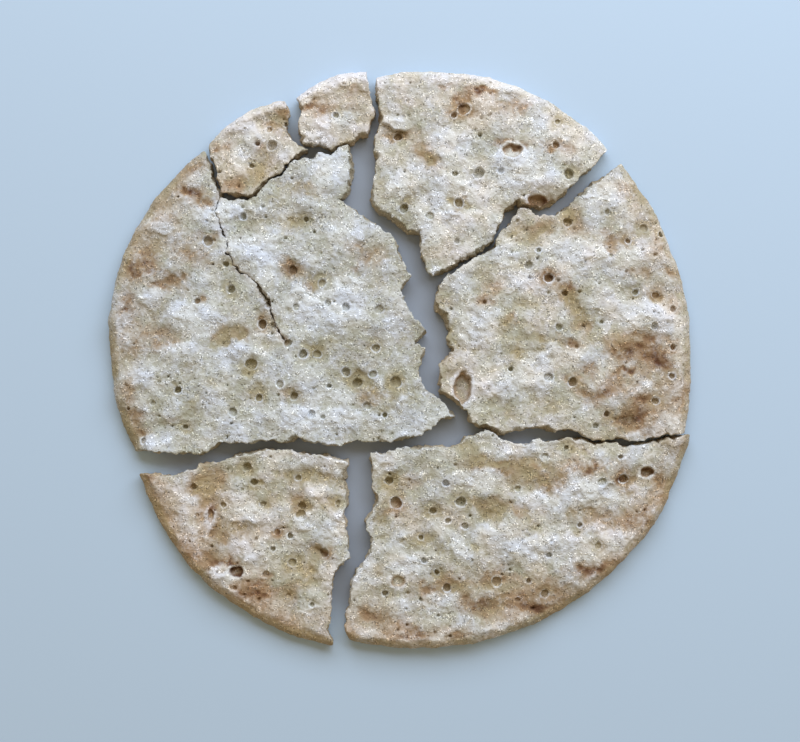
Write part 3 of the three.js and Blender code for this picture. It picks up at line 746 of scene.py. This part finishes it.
# The top right wedge, of the same dough. A flake of its crust lifted near the left edge as it dried, and two
# blisters broke open, one of them on the lower edge.
bake(
    "top_right_wedge",
    rim=((46.5, 46.8), (-5.7, 63), 7.4),
    rim_tan_light_and_shade=-0.4,
    blush=0.2,
    pores=[
        (464, 109, 12), (454, 115, 6), (398, 136, 8), (556, 145, 7), (501, 171, 6), (479, 173, 11),
        (455, 174, 6), (404, 208, 9), (430, 216, 8), (457, 241, 6), (459, 203, 9), (558, 121, 5),
        (489, 116, 3), (480, 135, 4), (569, 174, 10),
    ],
    browned=[
        (480, 91, 14, 5, 0.5), (445, 86, 17, 6, 0.3), (464, 109, 9, 8, 0.6), (517, 105, 17, 9, 0.4),
        (490, 108, 20, 12, 0.15), (398, 137, 15, 7, 0.55), (420, 150, 11, 10, 0.35),
        (432, 163, 12, 9, 0.35), (515, 145, 19, 7, 0.6), (561, 147, 15, 8, 0.5), (458, 200, 11, 8, 0.45),
        (545, 201, 18, 9, 0.4), (470, 105, 70, 22, 0.12),
    ],
    golden=[
        (420, 150, 12, 11, 0.4), (432, 163, 13, 10, 0.4), (458, 201, 13, 9, 0.6), (470, 207, 10, 7, 0.4),
        (405, 207, 9, 9, 0.5), (440, 126, 24, 9, 0.25), (385, 176, 12, 10, 0.25), (570, 172, 12, 8, 0.3),
    ],
    pale=[
        (520, 166, 22, 11, 0.5), (480, 186, 26, 13, 0.5), (446, 141, 18, 11, 0.5), (430, 236, 14, 11, 0.3),
        (396, 186, 17, 14, 0.5), (446, 216, 18, 13, 0.4), (541, 181, 24, 9, 0.5), (395, 121, 11, 6, 0.5),
        (540, 125, 16, 8, 0.3), (410, 100, 22, 9, 0.2),
    ],
    hollows=[(513, 151, 10, 7, 1.1), (538, 200, 9, 6, 1.1)],
    flake=((381, 124), (407, 133), 0.8, 0.7),
)


# The right slab, with a blister broken open at its left corner and a brown band along its lower right, where
# the heat caught it. It is the same dough, and was snapped off on three sides.
bake(
    "right_slab",
    rim=((63.6, -16.7), (49.6, 43.7), 7),
    rim_tan_light_and_shade=0,
    blush=0.25,
    pores=[
        (568, 222, 9), (607, 212, 5), (628, 241, 5), (655, 255, 4), (610, 256, 4), (539, 250, 5),
        (529, 265, 8), (549, 278, 9), (636, 292, 6), (656, 295, 7), (673, 309, 6), (654, 326, 7),
        (565, 293, 6), (485, 302, 4), (559, 327, 7), (584, 326, 4), (602, 322, 4), (549, 377, 9),
        (573, 382, 9), (511, 369, 5), (656, 401, 7), (607, 414, 6), (596, 426, 6), (672, 376, 6),
        (673, 347, 6), (577, 347, 4), (644, 228, 8), (662, 234, 6),
    ],
    browned=[
        (626, 187, 14, 11, 0.4), (570, 220, 10, 9, 0.35), (544, 229, 15, 6, 0.4), (610, 240, 18, 10, 0.3),
        (612, 253, 8, 8, 0.3), (628, 241, 5, 5, 0.4), (655, 250, 10, 11, 0.35), (632, 272, 17, 7, 0.4),
        (670, 273, 11, 9, 0.4), (550, 276, 13, 8, 0.6), (567, 288, 9, 10, 0.5), (575, 300, 7, 9, 0.4),
        (655, 295, 6, 6, 0.5), (672, 309, 8, 7, 0.35), (490, 300, 11, 9, 0.55), (496, 286, 8, 8, 0.3),
        (510, 318, 11, 10, 0.35), (582, 321, 9, 9, 0.4), (573, 345, 10, 6, 0.4), (640, 342, 22, 9, 0.55),
        (629, 352, 10, 9, 0.65), (612, 350, 13, 8, 0.45), (655, 362, 17, 10, 0.65), (625, 368, 11, 6, 0.6),
        (673, 346, 9, 8, 0.45), (591, 368, 9, 7, 0.3), (575, 381, 8, 7, 0.35), (605, 392, 17, 10, 0.35),
        (640, 403, 10, 9, 0.4), (590, 398, 10, 10, 0.25), (628, 422, 15, 9, 0.6), (685, 398, 9, 12, 0.35),
        (640, 395, 60, 45, 0.22), (650, 230, 30, 45, 0.1),
    ],
    golden=[
        (570, 220, 11, 10, 0.5), (544, 229, 15, 7, 0.5), (515, 236, 16, 11, 0.3), (590, 290, 16, 9, 0.35),
        (575, 302, 8, 11, 0.5), (510, 318, 13, 12, 0.6), (530, 304, 15, 7, 0.3), (582, 321, 10, 10, 0.5),
        (445, 328, 9, 14, 0.5), (522, 332, 26, 13, 0.4), (547, 341, 18, 8, 0.3), (615, 333, 28, 9, 0.3),
        (515, 352, 13, 11, 0.4), (505, 410, 24, 14, 0.35), (470, 350, 17, 7, 0.3), (550, 408, 30, 12, 0.25),
        (573, 383, 10, 9, 0.4),
    ],
    pale=[
        (600, 195, 22, 11, 0.4), (585, 257, 24, 11, 0.5), (505, 252, 15, 10, 0.5), (520, 285, 15, 13, 0.5),
        (472, 330, 17, 16, 0.6), (640, 311, 36, 12, 0.5), (612, 300, 14, 9, 0.4), (556, 355, 30, 9, 0.6),
        (500, 382, 25, 14, 0.6), (536, 386, 12, 10, 0.3), (646, 430, 12, 7, 0.4), (650, 384, 14, 7, 0.3),
        (460, 272, 14, 9, 0.3), (640, 257, 14, 6, 0.2), (660, 425, 12, 9, 0.2),
    ],
    hollows=[(463, 388, 9, 15, 2.2)],
)


# The lower left corner, which browned most of all along its rim, where painted shade is added as well. It
# is the same dough, thickly pricked, and two of its blisters burst as it baked.
bake(
    "lower_left_corner",
    rim=((-58.8, -25.7), (-15.2, -64.1), 8.6),
    rim_tan_light_and_shade=0.32,
    blush=0.35,
    pores=[
        (302, 506, 8), (301, 515, 10), (324, 553, 9), (247, 467, 9), (298, 478, 6), (254, 482, 7),
        (197, 515, 4), (223, 505, 6), (263, 504, 6), (277, 532, 6), (290, 536, 6), (256, 539, 4),
        (273, 549, 5), (292, 563, 8), (266, 574, 7), (312, 605, 5), (288, 596, 5), (259, 600, 4),
        (235, 588, 4), (193, 487, 6), (338, 503, 5),
    ],
    browned=[
        (150, 477, 12, 10, 0.35), (195, 486, 11, 9, 0.45), (215, 478, 14, 8, 0.25), (210, 513, 9, 11, 0.6),
        (215, 530, 9, 12, 0.4), (302, 508, 9, 10, 0.45), (277, 531, 9, 7, 0.4), (323, 552, 11, 8, 0.55),
        (235, 568, 14, 9, 0.6), (215, 563, 17, 7, 0.5), (255, 585, 16, 11, 0.35), (262, 597, 16, 10, 0.35),
        (238, 590, 10, 9, 0.35), (266, 574, 8, 8, 0.45), (290, 592, 12, 9, 0.3), (230, 540, 50, 60, 0.12),
    ],
    golden=[
        (195, 486, 12, 10, 0.4), (246, 468, 14, 8, 0.5), (255, 482, 13, 8, 0.5), (285, 476, 15, 8, 0.5),
        (315, 473, 19, 10, 0.6), (265, 503, 12, 9, 0.45), (330, 508, 17, 8, 0.5), (240, 526, 24, 7, 0.4),
        (220, 536, 13, 10, 0.3), (340, 548, 12, 8, 0.4), (310, 572, 13, 11, 0.35), (300, 582, 24, 16, 0.3),
        (302, 508, 10, 11, 0.4),
    ],
    pale=[
        (186, 500, 15, 11, 0.4), (195, 532, 13, 13, 0.4), (216, 577, 14, 7, 0.5), (240, 514, 24, 8, 0.5),
        (305, 526, 13, 11, 0.6), (336, 526, 10, 14, 0.6), (250, 551, 26, 10, 0.5), (320, 571, 9, 11, 0.4),
        (303, 611, 10, 8, 0.4), (336, 470, 11, 8, 0.4), (315, 493, 14, 7, 0.4), (225, 496, 13, 7, 0.4),
        (226, 592, 12, 6, 0.3),
    ],
    hollows=[(236, 572, 7, 5, 1.5), (210, 516, 3, 7, 0.6)],
)


# The lower right slab, whose crust set in low waves that run across it as the dough rose and dried. It is the
# same dough, browned along its rim and in the dips between the waves, where painted shade is added as well.
bake(
    "lower_right_slab",
    rim=((-11.1, -62.8), (64.9, -16.9), 18.7),
    rim_tan_light_and_shade=0.25,
    blush=0,
    pores=[
        (461, 502, 10), (448, 521, 6), (465, 526, 7), (433, 511, 7), (446, 483, 7), (389, 481, 8),
        (396, 503, 12), (421, 538, 5), (424, 561, 6), (437, 573, 5), (385, 594, 6), (421, 600, 4),
        (447, 588, 8), (497, 582, 10), (518, 489, 6), (545, 457, 8), (567, 448, 5), (602, 482, 9),
        (624, 479, 9), (621, 457, 5), (598, 546, 7), (580, 525, 5), (549, 555, 6), (529, 581, 5),
        (518, 600, 5), (533, 609, 4), (545, 594, 8),
    ],
    browned=[
        (485, 463, 17, 7, 0.35), (515, 467, 26, 9, 0.45), (540, 478, 24, 9, 0.45),
        (550, 486, 12, 7, 0.35), (590, 470, 25, 7, 0.6), (623, 479, 9, 8, 0.5), (647, 471, 10, 7, 0.6),
        (660, 485, 12, 10, 0.4), (640, 513, 12, 11, 0.4), (396, 505, 11, 10, 0.55),
        (410, 480, 12, 10, 0.15), (490, 505, 16, 8, 0.35), (518, 510, 10, 9, 0.3),
        (620, 525, 22, 10, 0.25), (600, 571, 28, 8, 0.65), (495, 580, 16, 7, 0.5), (455, 585, 22, 9, 0.4),
        (425, 592, 14, 9, 0.4), (470, 600, 17, 8, 0.4), (545, 587, 18, 10, 0.4), (510, 601, 24, 8, 0.3),
        (485, 612, 17, 8, 0.4), (540, 612, 20, 8, 0.55), (410, 632, 20, 10, 0.55), (460, 635, 17, 7, 0.4),
        (365, 612, 14, 10, 0.35), (385, 616, 17, 8, 0.3), (580, 511, 18, 9, 0.2),
        (600, 500, 80, 60, 0.08), (540, 595, 80, 30, 0.1),
    ],
    golden=[
        (475, 450, 12, 8, 0.5), (485, 463, 18, 8, 0.5), (515, 467, 26, 10, 0.5), (540, 479, 25, 10, 0.5),
        (520, 488, 10, 7, 0.4), (390, 480, 9, 8, 0.5), (490, 506, 17, 9, 0.6), (500, 515, 10, 8, 0.5),
        (518, 510, 11, 10, 0.6), (380, 522, 11, 12, 0.4), (530, 532, 17, 8, 0.5), (405, 540, 15, 8, 0.5),
        (383, 538, 9, 7, 0.3), (443, 545, 11, 9, 0.45), (430, 537, 13, 7, 0.3), (475, 553, 9, 9, 0.45),
        (575, 537, 10, 7, 0.4), (580, 510, 19, 10, 0.35), (375, 566, 11, 8, 0.4), (575, 450, 10, 7, 0.3),
        (455, 585, 23, 9, 0.4), (485, 612, 17, 8, 0.4),
    ],
    pale=[
        (380, 462, 15, 9, 0.5), (472, 476, 20, 9, 0.5), (520, 450, 26, 8, 0.5), (600, 498, 28, 10, 0.6),
        (575, 487, 12, 7, 0.4), (540, 500, 17, 8, 0.4), (498, 535, 20, 11, 0.5), (530, 548, 25, 12, 0.6),
        (572, 541, 22, 8, 0.5), (620, 538, 16, 8, 0.4), (412, 560, 18, 10, 0.5), (365, 580, 12, 11, 0.5),
        (432, 605, 18, 8, 0.4), (400, 602, 14, 8, 0.3), (440, 530, 20, 6, 0.3), (395, 522, 14, 7, 0.3),
        (490, 596, 9, 6, 0.4), (460, 548, 14, 8, 0.3), (640, 490, 14, 8, 0.3),
    ],
    hollows=[(648, 472, 7, 5, 1.4), (398, 582, 7, 6, 0.8)],
    waves=0.4,
)


# The floor that the bread lies on, a plain pale sheet which is only there as a stage. Its colour is painted
# darker under the round as painted shade, because little light finds its way down through the gaps.
FLOOR_HALF = 0.6  # half its side, in metres
FLOOR_DROP = 0.05  # how far it lies below the underside
FLOOR_PALE = (0.48, 0.615, 0.78, 1)
FLOOR_SHADED = (0.315, 0.36, 0.44, 1)
SHADED_TO = 54  # it is shaded to this far from the middle, and pale from the next
PALE_FROM = 63
floor_form = bmesh.new()
bmesh.ops.create_grid(floor_form, x_segments=1, y_segments=1, size=FLOOR_HALF)
bmesh.ops.translate(floor_form, vec=(0, 0, -FLOOR_DROP * MM), verts=floor_form.verts)
floor_mesh = bpy.data.meshes.new("floor")
floor_form.to_mesh(floor_mesh)
floor_form.free()
floor = bpy.data.objects.new("floor", floor_mesh)
bpy.context.scene.collection.objects.link(floor)
pale_sheet = bpy.data.materials.new("pale_sheet")
pale_sheet.use_nodes = True
pale_sheet.node_tree.nodes.clear()
sheet_loom = Strand(pale_sheet.node_tree)
spot = sheet_loom.add("TexCoord", {}, {}, "Object")
out = sheet_loom.add("VectorMath", {"operation": "LENGTH"}, {0: spot}, "Value")
# Painted shade: the sheet is coloured darker towards the middle, under the round.
shaded = sheet_loom.add(
    "MapRange",
    {"interpolation_type": "SMOOTHSTEP"},
    {"Value": out, "From Min": PALE_FROM * MM, "From Max": SHADED_TO * MM},
)
sheet_colour = sheet_loom.add("Mix", {"data_type": "RGBA"}, {0: shaded, 6: FLOOR_PALE, 7: FLOOR_SHADED}, 2)
sheet_shader = sheet_loom.add("BsdfPrincipled", {}, {"Base Color": sheet_colour, "Roughness": 0.6})
sheet_loom.add("OutputMaterial", {}, {"Surface": sheet_shader})
floor_mesh.materials.append(pale_sheet)


# The light, a wide soft window that stands behind the upper edge of the round and a little to its right. The
# room fills the shadows with a warmer light.
LIGHT_AWAY = 0.75  # metres from the middle of the round
LIGHT_LEVEL = math.radians(40)  # above the floor
LIGHT_TURN = math.radians(74)  # round from the right of the round
WINDOW_SIZE = (1.2, 0.5)  # metres
WINDOW_POWER = 8.8
WINDOW_COLOUR = (0.794, 0.876, 1)
ROOM_COLOUR = (1, 0.83, 0.555, 1)
ROOM_STRENGTH = 0.415
key_light = bpy.data.lights.new("window", "AREA")
key_light.shape = "RECTANGLE"
key_light.size = WINDOW_SIZE[0]
key_light.size_y = WINDOW_SIZE[1]
key_light.energy = WINDOW_POWER
key_light.color = WINDOW_COLOUR
key = bpy.data.objects.new("window", key_light)
key.location = (
    LIGHT_AWAY * math.cos(LIGHT_LEVEL) * math.cos(LIGHT_TURN),
    LIGHT_AWAY * math.cos(LIGHT_LEVEL) * math.sin(LIGHT_TURN),
    LIGHT_AWAY * math.sin(LIGHT_LEVEL),
)
key.rotation_euler = (math.pi / 2 - LIGHT_LEVEL, 0, LIGHT_TURN + math.pi / 2)
bpy.context.scene.collection.objects.link(key)
room = bpy.data.worlds.new("room")
room.use_nodes = True
room.node_tree.nodes["Background"].inputs["Color"].default_value = ROOM_COLOUR
room.node_tree.nodes["Background"].inputs["Strength"].default_value = ROOM_STRENGTH
bpy.context.scene.world = room
bpy.context.scene.view_settings.view_transform = "Standard"


# The camera, which looks straight down as one held over a table does. It stands a little below the middle of
# the round, and its lens takes in the width of floor that the photograph shows.
CAMERA_HEIGHT = 280  # above the crust that it is set for
CRUST_LEVEL = 2.8
CAMERA_BELOW = 2.5  # how far it stands below the middle
FRAME_WIDTH = 179  # millimetres of crust across the picture
SENSOR_WIDTH = 36
camera_data = bpy.data.cameras.new("camera")
camera_data.sensor_width = SENSOR_WIDTH
camera_data.lens = SENSOR_WIDTH * CAMERA_HEIGHT / FRAME_WIDTH
camera_data.clip_start = 0.01
camera = bpy.data.objects.new("camera", camera_data)
camera.location = (0, -CAMERA_BELOW * MM, (CAMERA_HEIGHT + CRUST_LEVEL) * MM)
bpy.context.scene.collection.objects.link(camera)
bpy.context.scene.camera = camera
